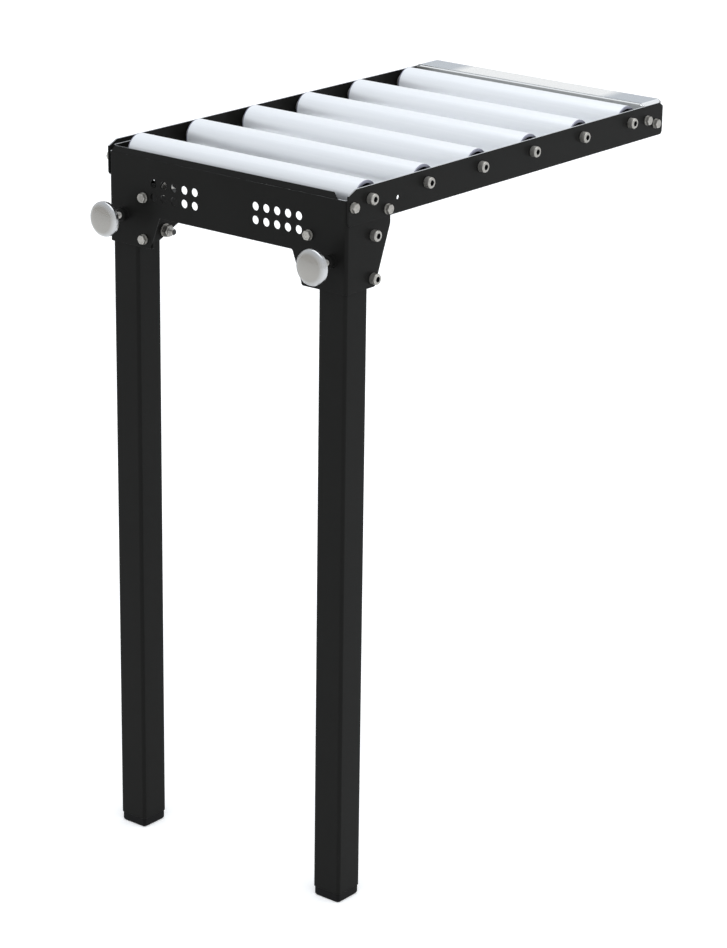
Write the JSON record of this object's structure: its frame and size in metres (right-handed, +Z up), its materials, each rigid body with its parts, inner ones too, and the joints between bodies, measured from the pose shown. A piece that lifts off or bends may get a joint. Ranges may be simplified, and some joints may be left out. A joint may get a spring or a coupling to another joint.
{
  "type": "roller outfeed table",
  "caption": "Roller outfeed table: idle rollers between flat side rails, a bent front panel clamping two adjustable legs, and a bridge plate at the machine end.",
  "frame": {"origin": "on the floor, below the middle of the table's outline seen from above", "axes": "+X along the rollers to the right seen from the front panel, +Y from the front panel towards the machine, +Z up"},
  "size_m": [0.38, 0.663, 0.881],
  "materials": {
    "powder_coat": "black semi-gloss powder coat on bent steel sheet and square tube",
    "bright_zinc": "bright zinc-plated steel",
    "roller_metal": "pale satin roller tube",
    "roller_cap": "black moulded plastic end cap",
    "stainless": "bright polished stainless sheet",
    "turned_aluminium": "satin turned aluminium",
    "black_plastic": "black moulded plastic foot",
    "brass": "plain brass"
  },
  "bodies": {
    "frame": {"front_panel": "powder_coat", "end_crossmember": "powder_coat", "bridge_plate": "stainless", "left_rail": "powder_coat", "left_leg_bracket": "powder_coat", "left_upper_cross_bolt": "bright_zinc", "left_upper_lock_nut": "bright_zinc", "left_upper_ear_bolt": "bright_zinc", "left_lower_cross_bolt": "bright_zinc", "left_lower_lock_nut": "bright_zinc", "left_lower_ear_bolt": "bright_zinc", "left_front_side_bolt": "bright_zinc", "left_front_end_bolt": "bright_zinc", "left_rear_side_bolt": "bright_zinc", "left_rear_end_bolt": "bright_zinc", "right_rail": "powder_coat", "right_leg_bracket": "powder_coat", "right_upper_cross_bolt": "bright_zinc", "right_upper_lock_nut": "bright_zinc", "right_upper_ear_bolt": "bright_zinc", "right_lower_cross_bolt": "bright_zinc", "right_lower_lock_nut": "bright_zinc", "right_lower_ear_bolt": "bright_zinc", "right_front_side_bolt": "bright_zinc", "right_front_end_bolt": "bright_zinc", "right_rear_side_bolt": "bright_zinc", "right_rear_end_bolt": "bright_zinc", "roller_1_axle": "bright_zinc", "roller_2_axle": "bright_zinc", "roller_3_axle": "bright_zinc", "roller_4_axle": "bright_zinc", "roller_5_axle": "bright_zinc", "roller_6_axle": "bright_zinc"},
    "left_leg_body": {"left_leg": "powder_coat", "left_foot": "black_plastic"},
    "left_pad": {"left_pressure_pad": "brass"},
    "left_knob": {"left_clamp_knob": "turned_aluminium"},
    "right_leg_body": {"right_leg": "powder_coat", "right_foot": "black_plastic"},
    "right_pad": {"right_pressure_pad": "brass"},
    "right_knob": {"right_clamp_knob": "turned_aluminium"},
    "roller_1": {"roller_1_tube": "roller_metal", "roller_1_left_cap": "roller_cap", "roller_1_right_cap": "roller_cap"},
    "roller_2": {"roller_2_tube": "roller_metal", "roller_2_left_cap": "roller_cap", "roller_2_right_cap": "roller_cap"},
    "roller_3": {"roller_3_tube": "roller_metal", "roller_3_left_cap": "roller_cap", "roller_3_right_cap": "roller_cap"},
    "roller_4": {"roller_4_tube": "roller_metal", "roller_4_left_cap": "roller_cap", "roller_4_right_cap": "roller_cap"},
    "roller_5": {"roller_5_tube": "roller_metal", "roller_5_left_cap": "roller_cap", "roller_5_right_cap": "roller_cap"},
    "roller_6": {"roller_6_tube": "roller_metal", "roller_6_left_cap": "roller_cap", "roller_6_right_cap": "roller_cap"}
  },
  "joints": [
    {"name": "roller_1_spin", "type": "hinge", "parent": "frame", "child": "roller_1", "pos_m": [0, -0.2505, 0.861], "axis": [1, 0, 0], "continuous": true},
    {"name": "roller_2_spin", "type": "hinge", "parent": "frame", "child": "roller_2", "pos_m": [0, -0.1485, 0.861], "axis": [1, 0, 0], "continuous": true},
    {"name": "roller_3_spin", "type": "hinge", "parent": "frame", "child": "roller_3", "pos_m": [0, -0.0465, 0.861], "axis": [1, 0, 0], "continuous": true},
    {"name": "roller_4_spin", "type": "hinge", "parent": "frame", "child": "roller_4", "pos_m": [0, 0.0555, 0.861], "axis": [1, 0, 0], "continuous": true},
    {"name": "roller_5_spin", "type": "hinge", "parent": "frame", "child": "roller_5", "pos_m": [0, 0.1575, 0.861], "axis": [1, 0, 0], "continuous": true},
    {"name": "roller_6_spin", "type": "hinge", "parent": "frame", "child": "roller_6", "pos_m": [0, 0.2595, 0.861], "axis": [1, 0, 0], "continuous": true},
    {"name": "left_leg_slide", "type": "slide", "parent": "frame", "child": "left_leg_body", "axis": [0, 0, 1], "range_m": [-0.025, 0.012]},
    {"name": "left_pad_slide", "type": "slide", "parent": "frame", "child": "left_pad", "axis": [0, -1, 0], "range_m": [0, 0.0025]},
    {"name": "left_knob_turn", "type": "hinge", "parent": "left_pad", "child": "left_knob", "pos_m": [-0.1576, -0.2885, 0.792], "axis": [0, -1, 0], "range_deg": [0, 721]},
    {"name": "right_leg_slide", "type": "slide", "parent": "frame", "child": "right_leg_body", "axis": [0, 0, 1], "range_m": [-0.025, 0.012]},
    {"name": "right_pad_slide", "type": "slide", "parent": "frame", "child": "right_pad", "axis": [0, -1, 0], "range_m": [0, 0.0025]},
    {"name": "right_knob_turn", "type": "hinge", "parent": "right_pad", "child": "right_knob", "pos_m": [0.1576, -0.2885, 0.792], "axis": [0, -1, 0], "range_deg": [0, 721]}
  ],
  "couplings": [
    {"joint": "left_knob_turn", "follows": "left_pad_slide", "rad_per_m": 5026.5},
    {"joint": "right_knob_turn", "follows": "right_pad_slide", "rad_per_m": 5026.5}
  ]
}
